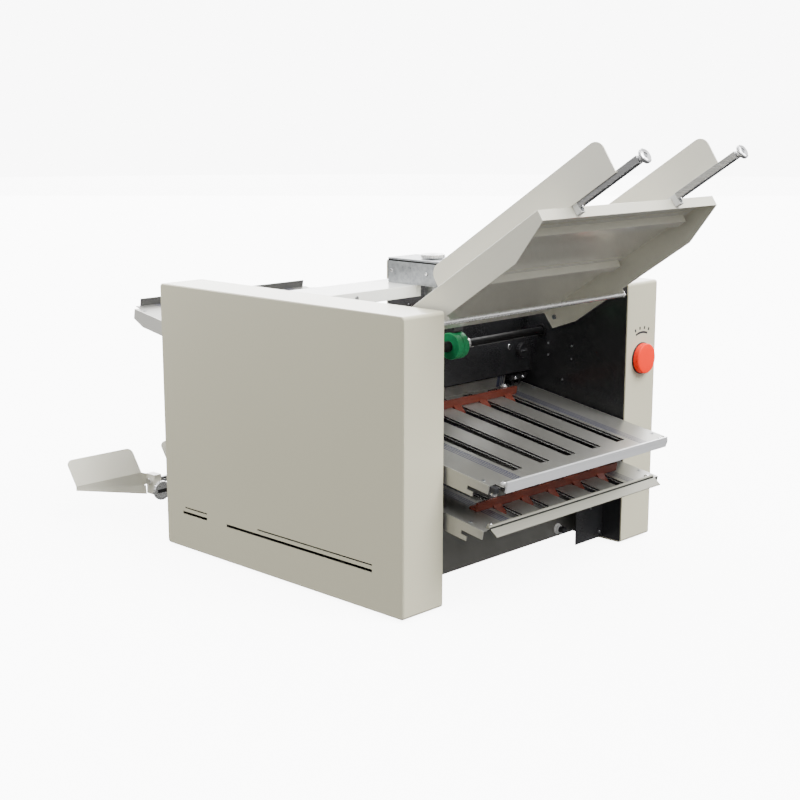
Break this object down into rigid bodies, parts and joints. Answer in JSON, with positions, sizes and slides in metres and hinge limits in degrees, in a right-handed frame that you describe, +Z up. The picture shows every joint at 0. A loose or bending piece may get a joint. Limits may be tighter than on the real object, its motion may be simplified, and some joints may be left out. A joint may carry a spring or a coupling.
{
  "type": "paper folding machine",
  "caption": "Friction-feed paper folding machine: sloping tray with side guides, green feed roller, stacked fold rollers, slotted fold plates with red stops.",
  "frame": {"origin": "on the table, at the centre of the rectangle of the four rubber feet", "axes": "+Z up; -Y is the front, where the lower fold plates and the speed knob are; +X to the right seen from the front"},
  "size_m": [0.5878, 0.9812, 0.6199],
  "materials": {
    "cover_paint": "light warm grey powder coat, glossy",
    "tray_paint": "light warm grey powder coat",
    "beam_paint": "light warm grey powder coat",
    "black_metal": "glossy black enamel",
    "panel_paint": "dark olive grey satin paint",
    "stainless": "brushed stainless steel",
    "bar_alu": "anodised aluminium section",
    "chrome": "polished chrome",
    "steel": "ground steel",
    "roller_rubber": "dark grey rubber-coated roller",
    "green_rubber": "green feed rubber",
    "black_rubber": "black rubber",
    "red_stop": "translucent red plastic",
    "black_plastic": "black moulded plastic",
    "white_plastic": "white moulded plastic",
    "speed_red": "orange-red moulded plastic",
    "motor_paint": "grey motor enamel"
  },
  "bodies": {
    "machine": {"left_cover": "cover_paint", "right_cover": "cover_paint", "left_frame_plate": "black_metal", "right_frame_plate": "black_metal", "front_panel": "panel_paint", "rear_panel": "panel_paint", "tie_rod": "chrome", "rubber_feet": "black_rubber", "top_beam": "beam_paint", "separator_channel": "steel", "feed_tray": "tray_paint", "drive_motor": "motor_paint", "drive_belts": "black_rubber", "terminal_plate": "black_metal", "cable_gland": "white_plastic", "inlet_guides": "black_metal", "delivery_chute": "stainless"},
    "separator_holder_unit": {"separator_holder": "steel", "separator_pad": "black_rubber"},
    "separator_knob_unit": {"separator_knob": "chrome"},
    "left_guide_unit": {"left_guide": "tray_paint", "left_guide_rail": "chrome", "left_guide_clip": "white_plastic"},
    "left_guide_knob_unit": {"left_guide_knob": "chrome"},
    "right_guide_unit": {"right_guide": "tray_paint", "right_guide_rail": "chrome", "right_guide_clip": "white_plastic"},
    "right_guide_knob_unit": {"right_guide_knob": "chrome"},
    "feed_roller_unit": {"feed_shaft": "chrome", "feed_tyres": "green_rubber"},
    "fold_roller_unit_1": {"fold_roller_1": "roller_rubber"},
    "fold_roller_unit_2": {"fold_roller_2": "roller_rubber"},
    "fold_roller_unit_3": {"fold_roller_3": "roller_rubber"},
    "fold_roller_unit_4": {"fold_roller_4": "roller_rubber"},
    "fold_roller_unit_5": {"fold_roller_5": "roller_rubber"},
    "fold_roller_unit_6": {"fold_roller_6": "roller_rubber"},
    "motor_pulley_unit": {"motor_pulley": "steel"},
    "rear_upper_unit": {"rear_upper_plate": "stainless", "rear_upper_bar": "bar_alu"},
    "rear_upper_stop_unit": {"rear_upper_stop": "red_stop", "rear_upper_stop_screws": "chrome"},
    "front_upper_unit": {"front_upper_plate": "stainless", "front_upper_bar": "bar_alu"},
    "front_upper_stop_unit": {"front_upper_stop": "red_stop", "front_upper_stop_screws": "chrome"},
    "rear_lower_unit": {"rear_lower_plate": "stainless", "rear_lower_bar": "bar_alu"},
    "rear_lower_stop_unit": {"rear_lower_stop": "red_stop", "rear_lower_stop_screws": "chrome"},
    "front_lower_unit": {"front_lower_plate": "stainless", "front_lower_bar": "bar_alu"},
    "front_lower_stop_unit": {"front_lower_stop": "red_stop", "front_lower_stop_screws": "chrome"},
    "delivery_carriage": {"delivery_rods": "chrome"},
    "left_delivery_stop_unit": {"left_delivery_stop": "tray_paint"},
    "left_delivery_knob_unit": {"left_delivery_knob": "black_plastic"},
    "right_delivery_stop_unit": {"right_delivery_stop": "tray_paint"},
    "right_delivery_knob_unit": {"right_delivery_knob": "black_plastic"},
    "speed_knob_unit": {"speed_knob": "speed_red"}
  },
  "joints": [
    {"name": "separator_adjust", "type": "hinge", "parent": "machine", "child": "separator_knob_unit", "pos_m": [0, -0.044, 0.404], "axis": [0, 0, 1], "range_deg": [0, 1080]},
    {"name": "separator_lift", "type": "slide", "parent": "machine", "child": "separator_holder_unit", "axis": [0, 0, 1], "range_m": [0, 0.00375]},
    {"name": "left_guide_slide", "type": "slide", "parent": "machine", "child": "left_guide_unit", "axis": [1, 0, 0], "range_m": [-0.06, 0.08]},
    {"name": "left_guide_clamp", "type": "hinge", "parent": "left_guide_unit", "child": "left_guide_knob_unit", "pos_m": [-0.12095, -0.48992, 0.60027], "axis": [0, -0.8352, 0.5499], "range_deg": [-360, 0]},
    {"name": "right_guide_slide", "type": "slide", "parent": "machine", "child": "right_guide_unit", "axis": [1, 0, 0], "range_m": [-0.08, 0.06]},
    {"name": "right_guide_clamp", "type": "hinge", "parent": "right_guide_unit", "child": "right_guide_knob_unit", "pos_m": [0.09595, -0.48992, 0.60027], "axis": [0, -0.8352, 0.5499], "range_deg": [-360, 0]},
    {"name": "fold_roller_1_spin", "type": "hinge", "parent": "machine", "child": "fold_roller_unit_1", "pos_m": [0, -0.03, 0.278], "axis": [1, 0, 0], "continuous": true},
    {"name": "fold_roller_2_spin", "type": "hinge", "parent": "machine", "child": "fold_roller_unit_2", "pos_m": [0, -0.03, 0.246], "axis": [1, 0, 0], "continuous": true},
    {"name": "fold_roller_3_spin", "type": "hinge", "parent": "machine", "child": "fold_roller_unit_3", "pos_m": [0, -0.03, 0.214], "axis": [1, 0, 0], "continuous": true},
    {"name": "fold_roller_4_spin", "type": "hinge", "parent": "machine", "child": "fold_roller_unit_4", "pos_m": [0, -0.03, 0.182], "axis": [1, 0, 0], "continuous": true},
    {"name": "fold_roller_5_spin", "type": "hinge", "parent": "machine", "child": "fold_roller_unit_5", "pos_m": [0, -0.03, 0.15], "axis": [1, 0, 0], "continuous": true},
    {"name": "fold_roller_6_spin", "type": "hinge", "parent": "machine", "child": "fold_roller_unit_6", "pos_m": [0, -0.03, 0.118], "axis": [1, 0, 0], "continuous": true},
    {"name": "feed_spin", "type": "hinge", "parent": "machine", "child": "feed_roller_unit", "pos_m": [0, -0.088, 0.3165], "axis": [1, 0, 0], "continuous": true},
    {"name": "motor_spin", "type": "hinge", "parent": "machine", "child": "motor_pulley_unit", "pos_m": [0.228, 0.03, 0.054], "axis": [1, 0, 0], "continuous": true},
    {"name": "rear_upper_pull", "type": "slide", "parent": "machine", "child": "rear_upper_unit", "axis": [0, 0.986, 0.1668], "range_m": [0, 0.15]},
    {"name": "rear_upper_stop_slide", "type": "slide", "parent": "rear_upper_unit", "child": "rear_upper_stop_unit", "axis": [0, 0.986, 0.1668], "range_m": [-0.22, 0.14]},
    {"name": "front_upper_pull", "type": "slide", "parent": "machine", "child": "front_upper_unit", "axis": [0, -0.986, -0.1668], "range_m": [0, 0.15]},
    {"name": "front_upper_stop_slide", "type": "slide", "parent": "front_upper_unit", "child": "front_upper_stop_unit", "axis": [0, -0.986, -0.1668], "range_m": [-0.012, 0.2]},
    {"name": "rear_lower_pull", "type": "slide", "parent": "machine", "child": "rear_lower_unit", "axis": [0, 0.986, 0.1668], "range_m": [0, 0.15]},
    {"name": "rear_lower_stop_slide", "type": "slide", "parent": "rear_lower_unit", "child": "rear_lower_stop_unit", "axis": [0, 0.986, 0.1668], "range_m": [-0.09, 0.17]},
    {"name": "front_lower_pull", "type": "slide", "parent": "machine", "child": "front_lower_unit", "axis": [0, -0.986, -0.1668], "range_m": [0, 0.15]},
    {"name": "front_lower_stop_slide", "type": "slide", "parent": "front_lower_unit", "child": "front_lower_stop_unit", "axis": [0, -0.986, -0.1668], "range_m": [-0.185, 0.028]},
    {"name": "delivery_slide", "type": "slide", "parent": "machine", "child": "delivery_carriage", "axis": [0, 1, 0], "range_m": [-0.1, 0]},
    {"name": "left_delivery_stop_slide", "type": "slide", "parent": "delivery_carriage", "child": "left_delivery_stop_unit", "axis": [1, 0, 0], "range_m": [0, 0.014]},
    {"name": "left_delivery_clamp", "type": "hinge", "parent": "left_delivery_stop_unit", "child": "left_delivery_knob_unit", "pos_m": [-0.1655, 0.427, 0.033], "axis": [0, -1, 0], "range_deg": [-360, 0]},
    {"name": "right_delivery_stop_slide", "type": "slide", "parent": "delivery_carriage", "child": "right_delivery_stop_unit", "axis": [1, 0, 0], "range_m": [-0.014, 0.055]},
    {"name": "right_delivery_clamp", "type": "hinge", "parent": "right_delivery_stop_unit", "child": "right_delivery_knob_unit", "pos_m": [0.0205, 0.427, 0.033], "axis": [0, -1, 0], "range_deg": [-360, 0]},
    {"name": "speed_control", "type": "hinge", "parent": "machine", "child": "speed_knob_unit", "pos_m": [0.2405, -0.252, 0.2878], "axis": [0, -1, 0], "range_deg": [-270, 0]}
  ],
  "couplings": [
    {"joint": "separator_adjust", "follows": "separator_lift", "rad_per_m": 5026.5},
    {"joint": "fold_roller_2_spin", "follows": "fold_roller_1_spin", "ratio": -1},
    {"joint": "fold_roller_3_spin", "follows": "fold_roller_1_spin", "ratio": 1},
    {"joint": "fold_roller_4_spin", "follows": "fold_roller_1_spin", "ratio": -1},
    {"joint": "fold_roller_5_spin", "follows": "fold_roller_1_spin", "ratio": 1},
    {"joint": "fold_roller_6_spin", "follows": "fold_roller_1_spin", "ratio": -1},
    {"joint": "feed_spin", "follows": "fold_roller_1_spin", "ratio": -0.71429},
    {"joint": "motor_spin", "follows": "fold_roller_1_spin", "ratio": -2}
  ]
}
